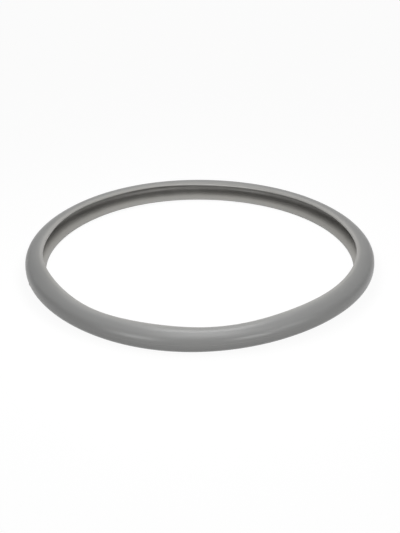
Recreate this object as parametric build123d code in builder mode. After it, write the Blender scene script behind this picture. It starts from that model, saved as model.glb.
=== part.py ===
"""Sealing ring of a stovetop pressure cooker: one moulded silicone gasket with a C-shaped section.

The ring lies flat, with its axis on Z and its base at Z = 0. Its channel opens towards the axis: in use, the
pressure in the channel spreads the two lips, the upper one against the lid and the lower one against the pot.
"""
import os
from math import asin, atan2, degrees, hypot, sqrt

from build123d import *

# Overall sizes, in millimetres
outer_diameter = 235.0
ring_height = 14.5

# Crown: the straight band that presses into the lid's rim, and the radius it is rounded over with
crown_band = 1.6
crown_radius = 5.6

# Lips: how far each reaches in from the crown, its flat sealing land, its curl past that, and its blunt end
upper_lip_reach = 12.0
lower_lip_reach = 13.2
land_width = 0.8
curl_reach = 2.9
curl_radius = 6.9
end_thickness = 0.9

# Channel: the wall left behind it at the crown, and the radius of its floor
crown_wall = 3.2
channel_radius = 2.6

outer_radius = outer_diameter / 2
middle_height = ring_height / 2
floor_radius = outer_radius - crown_wall


def draw_lip(upward, reach):
    """Draws one lip and its half of the channel; upward is 1 for the upper lip and -1 for the lower."""
    crown_edge = middle_height + upward * crown_band / 2
    outside = middle_height + upward * ring_height / 2
    lip_end = outer_radius - reach
    land_end = lip_end + curl_reach
    land_start = land_end + land_width

    # Skin: a tight arc over the crown, and a wide one that goes on from it and ends level at the land
    run = outer_radius - land_start
    rise = (ring_height - crown_band) / 2
    wide_radius = (run**2 - 2 * run * crown_radius + rise**2) / (2 * (rise - crown_radius))
    crown_turn = degrees(atan2(wide_radius - rise, run - crown_radius))
    crown_arc = JernArc((outer_radius, crown_edge), (0, upward), crown_radius, upward * crown_turn)
    JernArc(crown_arc @ 1, crown_arc % 1, wide_radius, upward * (90 - crown_turn))

    # Lip: the flat that seals, the curl down from it towards the axis, and the blunt end to the inner edge
    land = Line((land_start, outside), (land_end, outside))
    curl_turn = degrees(asin(curl_reach / curl_radius))
    curl = JernArc(land @ 1, land % 1, curl_radius, upward * curl_turn)
    curl_drop = curl_radius - sqrt(curl_radius**2 - curl_reach**2)
    inner_edge = (lip_end, outside - upward * (curl_drop + end_thickness))
    Line(curl @ 1, inner_edge)

    # Channel: an arc from the middle of its floor, and the straight inner face that runs from it to the edge
    face_run = floor_radius - lip_end - channel_radius
    face_rise = ring_height / 2 - curl_drop - end_thickness
    face_slope = degrees(atan2(face_rise, face_run) - asin(channel_radius / hypot(face_run, face_rise)))
    floor_turn = upward * (90 - face_slope)
    floor_arc = JernArc((floor_radius, middle_height), (0, upward), channel_radius, floor_turn)
    Line(floor_arc @ 1, inner_edge)


# Sealing ring: the C-section, crown band and two lips, turned about the axis
with BuildPart() as sealing_ring:
    with BuildSketch(Plane.XZ):
        with BuildLine():
            Line(
                (outer_radius, middle_height - crown_band / 2),
                (outer_radius, middle_height + crown_band / 2),
            )
            draw_lip(1, upper_lip_reach)
            draw_lip(-1, lower_lip_reach)
        make_face()
    revolve(axis=Axis.Z)

sealing_ring.part.label = "sealing_ring"

os.makedirs("parts", exist_ok=True)
export_step(sealing_ring.part, "parts/sealing_ring.step")
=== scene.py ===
"""Grey silicone sealing ring of a stovetop pressure cooker, dressed for a product photograph on white."""
from math import asin, atan2, cos, hypot, pi, sin

import bpy
from mathutils import Matrix, Vector


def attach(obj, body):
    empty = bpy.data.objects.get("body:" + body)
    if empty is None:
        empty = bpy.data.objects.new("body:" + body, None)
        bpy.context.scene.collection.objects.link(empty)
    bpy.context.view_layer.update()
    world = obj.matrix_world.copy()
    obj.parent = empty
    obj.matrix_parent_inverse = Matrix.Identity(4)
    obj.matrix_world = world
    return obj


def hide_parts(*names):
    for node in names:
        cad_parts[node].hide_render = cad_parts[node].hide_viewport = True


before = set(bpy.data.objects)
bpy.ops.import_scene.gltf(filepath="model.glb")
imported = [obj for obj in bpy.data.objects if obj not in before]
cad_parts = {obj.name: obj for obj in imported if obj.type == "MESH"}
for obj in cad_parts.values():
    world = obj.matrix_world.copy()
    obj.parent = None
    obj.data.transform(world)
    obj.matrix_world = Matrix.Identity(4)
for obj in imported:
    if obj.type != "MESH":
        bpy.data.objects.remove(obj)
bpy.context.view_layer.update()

MM = 0.001

# Sizes of the ring, in millimetres
outer_radius = 117.5
ring_height = 14.5
crown_band = 1.6
crown_radius = 5.6
upper_lip_reach = 12.0
lower_lip_reach = 13.2
land_width = 0.8
curl_reach = 2.9
curl_radius = 6.9
end_thickness = 0.9
crown_wall = 3.2
channel_radius = 2.6

# Small things that only show close up, in millimetres
edge_softness = 0.25
corner_radius = 0.4
parting_height = 0.06
parting_width = 0.5

# Parting line: shares of its width out from the middle, each with the share of its height there
parting_profile = ((0.0, 1.0), (0.25, 0.6), (0.5, 0.0))

# The largest share of a neighbouring edge that a rounded corner takes up
corner_limit = 0.9

# Wall that counts as thick, in millimetres
thick_wall = 4.5

# Nub: the trace of the mould's feed just under the crown; its turn round the ring is in degrees from +X
nub_turn = -159.3
nub_below_middle = 1.5
nub_width = 1.3
nub_length = 2.4
nub_height = 0.3

# How finely the section and the ring are divided
crown_steps = 10
shoulder_steps = 9
land_steps = 2
curl_steps = 7
end_steps = 2
corner_steps = 4
face_steps = 5
floor_steps = 8
steps_round = 900

# Sway of the soft ring and of its upper lip: cosine and sine part of each wave, in millimetres
ring_sway = {2: (0.27, -0.66), 3: (-0.23, -0.44), 4: (-0.23, 0.16)}
lip_sway = {
    2: (0.80, -0.11), 3: (0.04, -0.20), 4: (-0.08, 0.10), 5: (0.00, -0.27),
    6: (-0.17, 0.10), 7: (0.32, -0.17), 8: (-0.23, -0.11),
}
sways = {"Ring Sway": ring_sway, "Lip Sway": lip_sway}

# Lip: how far in from the crown its waves start, in millimetres, and the power that they grow by
lip_root = 4.2
lip_bend = 1.5

# Silicone: its greys by how thin the wall is. The paler, warmer greys towards the thin lips are painted
# light, standing for light that comes through them
skin_greys_with_painted_light = {
    0.12: (0.262, 0.263, 0.260, 1),
    0.40: (0.292, 0.291, 0.285, 1),
    0.56: (0.354, 0.350, 0.337, 1),
    1.00: (0.368, 0.362, 0.345, 1),
}
# In the channel: painted shade, darkest and warmest where the wall is thick deep in the hollow, and
# painted light towards the thin edge of the lower lip
channel_shade_and_light_greys = {
    0.12: (0.150, 0.146, 0.137, 1),
    0.40: (0.355, 0.347, 0.328, 1),
    1.00: (0.415, 0.408, 0.387, 1),
}
satin_roughness = 0.31
silicone_ior = 1.48

# Noises in the silicone, and how far each spreads what it changes
cloud_noise = {"Scale": 90.0, "Detail": 3.0, "Roughness": 0.55}
cloud_spread = 0.14
fleck_noise = {"Scale": 1500.0, "Detail": 2.0, "Roughness": 0.6}
fleck_spread = 0.06
rubbed_noise = {"Scale": 160.0, "Detail": 4.0, "Roughness": 0.6}
rubbed_spread = 0.07
grain_noise = {"Scale": 3600.0, "Detail": 2.0, "Roughness": 0.5}

# Turning lines: pitch in millimetres, and depth as a share of the grain's, with more in the channel
turning_pitch = 0.45
line_depth = 0.05
channel_line_depth = 0.12

# Relief of grain and lines together, its height in metres
relief_strength = 0.25
relief_height = 0.00001

# Floor: white to the eye with a faint shadow, and grey to the light that bounces off it
floor_glow = 0.93
floor_shade = 0.1
floor_bounce = 0.25
floor_reach = 3.0

# World: a pale grey backdrop where it is seen, and a soft light from all round
backdrop_glow = 0.55
soft_light = 0.14

# Colours of light
full_white = (1, 1, 1, 1)
plain_white = (1.0, 1.0, 1.0)
warm_white = (1.0, 0.985, 0.95)

# Lamps: azimuth, elevation in degrees, distance, width, height in metres, power in watts, and colour
studio_distance = 1.2
lamps = {
    "left": (-37, 13, studio_distance, 0.42, 0.6, 3.4, plain_white),
    "right": (29, 7, studio_distance, 0.34, 0.38, 2.8, plain_white),
    "right_streak": (53, 23, studio_distance, 0.36, 0.36, 1.5, plain_white),
    "front": (0, 54, studio_distance, 0.9, 0.7, 1.4, plain_white),
    "right_high": (45, 60, studio_distance, 0.67, 0.52, 0.4, plain_white),
    "back": (180, 12, studio_distance, 1.4, 0.4, 0.5, warm_white),
    "back_high": (180, 38, studio_distance, 0.6, 0.7, 1.0, warm_white),
    "middle": (0, 90, 0.2, 0.12, 0.12, 0.2, plain_white),
    "near_front": (0, 59, 0.23, 0.12, 0.12, 0.12, plain_white),
}

# Camera, fitted to the photograph: metres and radians
camera_distance = 0.65344
camera_elevation = 0.4694
camera_roll = -0.0089
nearest_seen = 0.01

# Picture, in pixels, and the sensor's width in millimetres
focal_pixels = 957.3
image_long_side = 533
centre_right = -0.27
centre_down = -14.22
sensor_width = 36


def arc(centre, radius, start, end, steps):
    """Points along an arc in the section, without its first point; angles in radians."""
    points = []
    for step in range(1, steps + 1):
        angle = start + (end - start) * step / steps
        points.append((centre[0] + radius * cos(angle), centre[1] + radius * sin(angle)))
    return points


def straight(start, end, steps):
    """Points along a straight line in the section, without its first point."""
    return [
        (start[0] + (end[0] - start[0]) * step / steps, start[1] + (end[1] - start[1]) * step / steps)
        for step in range(1, steps + 1)
    ]


def half_section(reach):
    """Half of the section, from the middle of the crown over the lip to the middle of the channel.

    Each point is its distance from the axis, its height over the middle, and 1 inside the channel
    or 0 outside.
    """
    half_band = crown_band / 2
    top = ring_height / 2
    lip_end = outer_radius - reach
    land_end = lip_end + curl_reach
    land_start = land_end + land_width

    # Crown: the fine parting line of the mould on a straight band
    skin = [(outer_radius + parting_height * proud, parting_width * off) for off, proud in parting_profile]
    skin.append((outer_radius, half_band))

    # Skin: a tight arc over the crown, then a wide one that ends level at the land
    run = outer_radius - land_start
    rise = top - half_band
    wide_radius = (run**2 - 2 * run * crown_radius + rise**2) / (2 * (rise - crown_radius))
    turn = atan2(wide_radius - rise, run - crown_radius)
    skin += arc((outer_radius - crown_radius, half_band), crown_radius, 0, turn, crown_steps)
    skin += arc((land_start, top - wide_radius), wide_radius, turn, pi / 2, shoulder_steps)

    # Lip: the land, the curl down from it, and the blunt end to the inner edge
    skin += straight((land_start, top), (land_end, top), land_steps)
    curl_turn = asin(curl_reach / curl_radius)
    curl_middle = (land_end, top - curl_radius)
    skin += arc(curl_middle, curl_radius, pi / 2, pi / 2 + curl_turn, curl_steps)
    corner = skin[-1]
    corner_place = len(skin) - 1
    edge = (lip_end, corner[1] - end_thickness)
    skin += straight(corner, edge, end_steps)
    edge_place = len(skin) - 1

    # Channel: the lip's straight inner face and the round floor
    floor_radius = outer_radius - crown_wall
    face_run = floor_radius - edge[0] - channel_radius
    face_slope = atan2(edge[1], face_run) - asin(channel_radius / hypot(face_run, edge[1]))
    floor_centre = (floor_radius - channel_radius, 0.0)
    face_end = (floor_centre[0] + channel_radius * sin(face_slope), channel_radius * cos(face_slope))
    channel = straight(edge, face_end, face_steps)
    channel += arc(floor_centre, channel_radius, pi / 2 - face_slope, 0, floor_steps)
    points = [(r, z, 0.0) for r, z in skin] + [(r, z, 1.0) for r, z in channel]
    for place, radius in ((edge_place, edge_softness), (corner_place, corner_radius)):
        points[place:place + 1] = rounded(points, place, radius)
    return points


def rounded(points, place, radius):
    """Points that round off one corner of the section."""
    r, z, inside = points[place]
    ends = []
    for near in (points[place - 1], points[place + 1]):
        away = (near[0] - r, near[1] - z)
        share = min(radius / hypot(*away), corner_limit)
        ends.append((r + away[0] * share, z + away[1] * share))
    out = []
    for step in range(corner_steps + 1):
        t = step / corner_steps
        before, middle, after = (1 - t) ** 2, 2 * t * (1 - t), t**2
        out.append((
            before * ends[0][0] + middle * r + after * ends[1][0],
            before * ends[0][1] + middle * z + after * ends[1][1],
            inside,
        ))
    return out


def gap_to(point, start, end):
    """Distance in the section from a point to the straight line between two others."""
    along = (end[0] - start[0], end[1] - start[1])
    towards = (point[0] - start[0], point[1] - start[1])
    share = (along[0] * towards[0] + along[1] * towards[1]) / (along[0] ** 2 + along[1] ** 2)
    share = min(max(share, 0.0), 1.0)
    return hypot(towards[0] - share * along[0], towards[1] - share * along[1])


def thinness(loop):
    """How thin the wall is at each point: 0 where it is thick, and towards 1 at the lips' edges."""
    lines = list(zip(loop, loop[1:] + loop[:1]))
    marks = []
    for point in loop:
        other_side = [line for line in lines if max(line[0][2], line[1][2]) != point[2]]
        wall = min(gap_to(point, start, end) for start, end in other_side)
        marks.append(max(0.0, 1 - wall / thick_wall))
    return marks


def make_section():
    """The closed section as a loop of edges, with its X outwards and its Y down, as the sweep takes it.

    Its points carry marks: inside the channel, how thin the wall is, how far along the section
    in millimetres, how far out on the upper lip, and how near to the nub.
    """
    upper = half_section(upper_lip_reach)
    lower = half_section(lower_lip_reach)
    loop = [(r, -z, inside) for r, z, inside in lower] + upper[-2:0:-1]
    marks = {"channel": [inside for _, _, inside in loop], "thin": thinness(loop), "along": [0.0]}
    for (r1, z1, _), (r2, z2, _) in zip(loop, loop[1:]):
        marks["along"].append(marks["along"][-1] + hypot(r2 - r1, z2 - z1))
    marks["upper_lip"], marks["nub"] = [], []
    for r, z, inside in loop:
        out_on_lip = (outer_radius - lip_root - r) / (upper_lip_reach - lip_root)
        marks["upper_lip"].append(max(0.0, out_on_lip) ** lip_bend if z > 0 else 0.0)
        off_nub = abs(z + nub_below_middle) / nub_width
        on_skin = r > outer_radius - crown_radius
        marks["nub"].append(max(0.0, 1 - off_nub**2) if on_skin and not inside else 0.0)
    section = bpy.data.meshes.new("ring_section")
    edges = [(i, (i + 1) % len(loop)) for i in range(len(loop))]
    section.from_pydata([((r - outer_radius) * MM, -z * MM, 0) for r, z, _ in loop], edges, [])
    for name, values in marks.items():
        section.attributes.new(name, "FLOAT", "POINT").data.foreach_set("value", values)
    holder = bpy.data.objects.new("ring_section", section)
    bpy.context.scene.collection.objects.link(holder)
    return holder


class Tree:
    """A small helper that adds nodes to a tree and links them."""

    def __init__(self, tree):
        self.tree = tree

    def add(self, kind, settings=None, **inputs):
        """A new node with its settings and inputs, whose names have _ for a space."""
        node = self.tree.nodes.new(kind)
        for name, value in (settings or {}).items():
            setattr(node, name, value)
        for name, value in inputs.items():
            self.set(node, name.replace("_", " "), value)
        return node

    def set(self, node, name, value):
        """Links another node's output to an input, or sets the input to a plain value."""
        socket = node.inputs[name]
        if isinstance(value, bpy.types.NodeSocket):
            self.tree.links.new(value, socket)
        else:
            socket.default_value = value

    def math(self, operation, first, second=0.0):
        """The result of one sum."""
        node = self.tree.nodes.new("ShaderNodeMath")
        node.operation = operation
        self.set(node, 0, first)
        self.set(node, 1, second)
        return node.outputs[0]

    def spread(self, value, width):
        """Moves a value from about a half to about zero, and gives it a width."""
        return self.math("MULTIPLY", self.math("SUBTRACT", value, 0.5), width)

    def noise(self, place, settings):
        """A noise at a place, about a half on average."""
        return self.add("ShaderNodeTexNoise", Vector=place, **settings).outputs["Fac"]

    def mark(self, name):
        """One of the marks that the ring's points carry."""
        return self.add("ShaderNodeAttribute", {"attribute_name": name}).outputs["Fac"]

    def ramp(self, factor, colours):
        """A colour ramp from a table of places and colours."""
        node = self.add("ShaderNodeValToRGB", Fac=factor)
        stops = node.color_ramp.elements
        while len(stops) < len(colours):
            stops.new(1.0)
        for stop, (position, colour) in zip(stops, colours.items()):
            stop.position = position
            stop.color = colour
        return node.outputs["Color"]

    def mix(self, factor, first, second):
        """A mix of two colours, whose sockets share their names with others and so go by number."""
        node = self.add("ShaderNodeMix", {"data_type": "RGBA"})
        self.set(node, 0, factor)
        self.set(node, 6, first)
        self.set(node, 7, second)
        return node.outputs[2]


def add_waves(kit, inputs, angle, name):
    """Adds up the waves round the ring whose heights are the tree's inputs of that name."""
    total = None
    for wave in sways[name]:
        turned = kit.math("MULTIPLY", angle, float(wave))
        for part, operation in (("Cosine", "COSINE"), ("Sine", "SINE")):
            swing = kit.math("MULTIPLY", kit.math(operation, turned), inputs[f"{name} {wave} {part}"])
            total = swing if total is None else kit.math("ADD", total, swing)
    return total


def ring_tree():
    """Sweeps a section round a circle, sways the ring as it lies, and raises the nub on its skin."""
    tree = bpy.data.node_groups.new("swept_ring", "GeometryNodeTree")
    kit = Tree(tree)
    sockets = {
        "Section": "Object",
        "Ring Radius": "Float",
        "Middle Height": "Float",
        "Steps Round": "Int",
    }
    for name, waves in sways.items():
        for wave in waves:
            sockets[f"{name} {wave} Cosine"] = "Float"
            sockets[f"{name} {wave} Sine"] = "Float"
    sockets["Nub Turn"] = "Float"
    sockets["Nub Length"] = "Float"
    sockets["Nub Height"] = "Float"
    sockets["Material"] = "Material"
    for name, kind in sockets.items():
        tree.interface.new_socket(name, in_out="INPUT", socket_type="NodeSocket" + kind)
    tree.interface.new_socket("Geometry", in_out="OUTPUT", socket_type="NodeSocketGeometry")
    inputs = tree.nodes.new("NodeGroupInput").outputs
    output = tree.nodes.new("NodeGroupOutput")

    # The section swept round
    circle = kit.add(
        "GeometryNodeCurvePrimitiveCircle",
        Resolution=inputs["Steps Round"],
        Radius=inputs["Ring Radius"],
    )
    section = kit.add("GeometryNodeObjectInfo", Object=inputs["Section"])
    profile = kit.add("GeometryNodeMeshToCurve", Mesh=section.outputs["Geometry"])
    sweep = kit.add(
        "GeometryNodeCurveToMesh",
        Curve=circle.outputs["Curve"],
        Profile_Curve=profile.outputs["Curve"],
    )

    # The sway, up and down
    place = kit.add("GeometryNodeInputPosition").outputs["Position"]
    across = kit.add("ShaderNodeSeparateXYZ", Vector=place).outputs
    angle = kit.math("ARCTAN2", across["Y"], across["X"])
    on_lip = kit.add("GeometryNodeInputNamedAttribute", Name="upper_lip").outputs["Attribute"]
    lip_waves = kit.math("MULTIPLY", on_lip, add_waves(kit, inputs, angle, "Lip Sway"))
    ring_waves = kit.math("ADD", inputs["Middle Height"], add_waves(kit, inputs, angle, "Ring Sway"))
    lifted = kit.add("ShaderNodeCombineXYZ", Z=kit.math("ADD", ring_waves, lip_waves))

    # The nub, out from the skin
    off_turn = kit.math("SUBTRACT", angle, inputs["Nub Turn"])
    off_arc = kit.math("MULTIPLY", off_turn, inputs["Ring Radius"])
    off_length = kit.math("DIVIDE", off_arc, inputs["Nub Length"])
    off_squared = kit.math("MULTIPLY", off_length, off_length)
    near_nub = kit.math("MAXIMUM", kit.math("SUBTRACT", 1.0, off_squared), 0.0)
    on_nub = kit.add("GeometryNodeInputNamedAttribute", Name="nub").outputs["Attribute"]
    proud = kit.math("MULTIPLY", kit.math("MULTIPLY", near_nub, on_nub), inputs["Nub Height"])
    outward = kit.add("ShaderNodeCombineXYZ", X=kit.math("COSINE", angle), Y=kit.math("SINE", angle))
    pushed = kit.add(
        "ShaderNodeVectorMath",
        {"operation": "SCALE"},
        Vector=outward.outputs["Vector"],
        Scale=proud,
    )

    # Both moves together
    offset = kit.add("ShaderNodeVectorMath", {"operation": "ADD"})
    kit.set(offset, 0, pushed.outputs["Vector"])
    kit.set(offset, 1, lifted.outputs["Vector"])
    swayed = kit.add(
        "GeometryNodeSetPosition",
        Geometry=sweep.outputs["Mesh"],
        Offset=offset.outputs["Vector"],
    )

    # Smooth and in its material
    smooth = kit.add("GeometryNodeSetShadeSmooth", Geometry=swayed.outputs["Geometry"])
    real = kit.add("GeometryNodeRealizeInstances", Geometry=smooth.outputs["Geometry"])
    dressed = kit.add(
        "GeometryNodeSetMaterial",
        Geometry=real.outputs["Geometry"],
        Material=inputs["Material"],
    )
    kit.set(output, "Geometry", dressed.outputs["Geometry"])
    return tree


def set_input(modifier, name, value):
    """Sets one of a tree's named inputs by its identifier."""
    for item in modifier.node_group.interface.items_tree:
        if item.item_type == "SOCKET" and item.in_out == "INPUT" and item.name == name:
            modifier[item.identifier] = value


def silicone_material():
    """Satin moulded silicone: painted light on the thin lips, painted shade in the channel, soft mottling,
    a fine grain, and the mould's turning lines.
    """
    material = bpy.data.materials.new("grey_silicone")
    material.use_nodes = True
    kit = Tree(material.node_tree)
    shader = material.node_tree.nodes["Principled BSDF"]
    place = kit.add("ShaderNodeTexCoord").outputs["Object"]
    channel = kit.mark("channel")

    # Colour: painted light on the thin lips and painted shade in the channel, by how thin the wall is,
    # with clouds about a centimetre across and flecks under a millimetre
    clouds = kit.spread(kit.noise(place, cloud_noise), cloud_spread)
    flecks = kit.spread(kit.noise(place, fleck_noise), fleck_spread)
    painted_light_and_mottle = kit.math("ADD", kit.mark("thin"), kit.math("ADD", clouds, flecks))
    skin = kit.ramp(painted_light_and_mottle, skin_greys_with_painted_light)
    hollow_shade_and_light = kit.ramp(painted_light_and_mottle, channel_shade_and_light_greys)
    kit.set(shader, "Base Color", kit.mix(channel, skin, hollow_shade_and_light))

    # Satin: rubbed and dull patches
    rubbed = kit.spread(kit.noise(place, rubbed_noise), rubbed_spread)
    kit.set(shader, "Roughness", kit.math("ADD", rubbed, satin_roughness))
    shader.inputs["IOR"].default_value = silicone_ior

    # Relief: the grain, and the turning lines round the ring that the mould leaves, deeper in the channel
    grain = kit.noise(place, grain_noise)
    lines = kit.math("SINE", kit.math("MULTIPLY", kit.mark("along"), 2 * pi / turning_pitch))
    depth = kit.math("ADD", kit.math("MULTIPLY", channel, channel_line_depth), line_depth)
    relief = kit.math("ADD", grain, kit.math("MULTIPLY", lines, depth))
    bump = kit.add("ShaderNodeBump", Strength=relief_strength, Distance=relief_height, Height=relief)
    kit.set(shader, "Normal", bump.outputs["Normal"])
    return material


def lowest_sway():
    """How far the sway takes the ring's lowest point below its middle, in millimetres."""
    heights = []
    for step in range(steps_round):
        angle = 2 * pi * step / steps_round
        heights.append(sum(c * cos(w * angle) + s * sin(w * angle) for w, (c, s) in ring_sway.items()))
    return min(heights)


middle_height = ring_height / 2 - lowest_sway()


def make_ring():
    """The dressed ring, as a plain mesh of its own."""
    holder = make_section()
    rough = bpy.data.objects.new("ring_shape", bpy.data.meshes.new("ring_shape"))
    bpy.context.scene.collection.objects.link(rough)
    modifier = rough.modifiers.new("sweep", "NODES")
    modifier.node_group = ring_tree()
    values = {
        "Section": holder,
        "Ring Radius": outer_radius * MM,
        "Middle Height": middle_height * MM,
        "Steps Round": steps_round,
        "Nub Turn": nub_turn * pi / 180,
        "Nub Length": nub_length / 2 * MM,
        "Nub Height": nub_height * MM,
        "Material": silicone_material(),
    }
    for name, waves in sways.items():
        for wave, (cosine, sine) in waves.items():
            values[f"{name} {wave} Cosine"] = cosine * MM
            values[f"{name} {wave} Sine"] = sine * MM
    for name, value in values.items():
        set_input(modifier, name, value)
    depsgraph = bpy.context.evaluated_depsgraph_get()
    mesh = bpy.data.meshes.new_from_object(rough.evaluated_get(depsgraph))
    mesh.name = "silicone_ring"
    ring = bpy.data.objects.new("silicone_ring", mesh)
    bpy.context.scene.collection.objects.link(ring)
    bpy.data.objects.remove(rough)
    bpy.data.objects.remove(holder)
    return ring


ring = make_ring()
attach(ring, "root")
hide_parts("sealing_ring")


def by_sight(kit, unseen, seen):
    """One shader where it is seen, also in a gloss or through a clear thing, and another for its light."""
    paths = kit.add("ShaderNodeLightPath").outputs
    gloss = kit.math("MAXIMUM", paths["Is Glossy Ray"], paths["Is Transmission Ray"])
    choice = kit.add("ShaderNodeMixShader")
    kit.set(choice, 0, kit.math("MAXIMUM", paths["Is Camera Ray"], gloss))
    kit.set(choice, 1, unseen.outputs[0])
    kit.set(choice, 2, seen.outputs[0])
    return choice.outputs[0]


def floor_material():
    """A floor that glows white where it is seen, with a little of the ring's shadow on it."""
    material = bpy.data.materials.new("white_floor")
    material.use_nodes = True
    material.node_tree.nodes.clear()
    kit = Tree(material.node_tree)
    shown = kit.add("ShaderNodeEmission", Color=full_white, Strength=floor_glow)
    shaded = kit.add("ShaderNodeBsdfDiffuse", Color=(floor_shade, floor_shade, floor_shade, 1))
    white = kit.add("ShaderNodeAddShader")
    kit.set(white, 0, shown.outputs[0])
    kit.set(white, 1, shaded.outputs[0])
    table = kit.add("ShaderNodeBsdfDiffuse", Color=(floor_bounce, floor_bounce, floor_bounce, 1))
    kit.add("ShaderNodeOutputMaterial", Surface=by_sight(kit, table, white))
    return material


floor_mesh = bpy.data.meshes.new("floor")
floor_corners = [(x * floor_reach, y * floor_reach, 0) for x, y in ((-1, -1), (1, -1), (1, 1), (-1, 1))]
floor_mesh.from_pydata(floor_corners, [], [(0, 1, 2, 3)])
floor_mesh.materials.append(floor_material())
floor = bpy.data.objects.new("floor", floor_mesh)
bpy.context.scene.collection.objects.link(floor)


def studio_world():
    """The backdrop and the soft light round the ring."""
    world = bpy.data.worlds.new("studio")
    world.use_nodes = True
    world.node_tree.nodes.clear()
    kit = Tree(world.node_tree)
    shown = kit.add("ShaderNodeBackground", Color=full_white, Strength=backdrop_glow)
    soft = kit.add("ShaderNodeBackground", Color=full_white, Strength=soft_light)
    kit.add("ShaderNodeOutputWorld", Surface=by_sight(kit, soft, shown))
    return world


bpy.context.scene.world = studio_world()


def softbox(name, azimuth, elevation, distance, width, height, power, colour):
    """A soft lamp that faces the ring; its azimuth runs from the camera's side to the right."""
    lamp = bpy.data.lights.new(name, "AREA")
    lamp.shape = "RECTANGLE"
    lamp.size, lamp.size_y = width, height
    lamp.energy = power
    lamp.color = colour
    holder = bpy.data.objects.new(name, lamp)
    a, e = azimuth * pi / 180, elevation * pi / 180
    place = Vector((sin(a) * cos(e), -cos(a) * cos(e), sin(e))) * distance
    holder.location = place
    holder.rotation_euler = (-place).to_track_quat("-Z", "Y").to_euler()
    holder.visible_camera = False
    bpy.context.scene.collection.objects.link(holder)


for lamp_name, lamp_values in lamps.items():
    softbox(lamp_name, *lamp_values)

lens = bpy.data.cameras.new("camera")
lens.sensor_width = sensor_width
lens.lens = focal_pixels * sensor_width / image_long_side
lens.shift_x = -centre_right / image_long_side
lens.shift_y = centre_down / image_long_side
lens.clip_start = nearest_seen
camera = bpy.data.objects.new("camera", lens)
bpy.context.scene.collection.objects.link(camera)
target = Vector((0, 0, middle_height * MM))
away = Vector((0, -cos(camera_elevation), sin(camera_elevation))) * camera_distance
look = (-away).to_track_quat("-Z", "Y").to_matrix().to_4x4()
camera.matrix_world = Matrix.Translation(target + away) @ look @ Matrix.Rotation(camera_roll, 4, "Z")
bpy.context.scene.camera = camera
bpy.context.scene.view_settings.view_transform = "Standard"
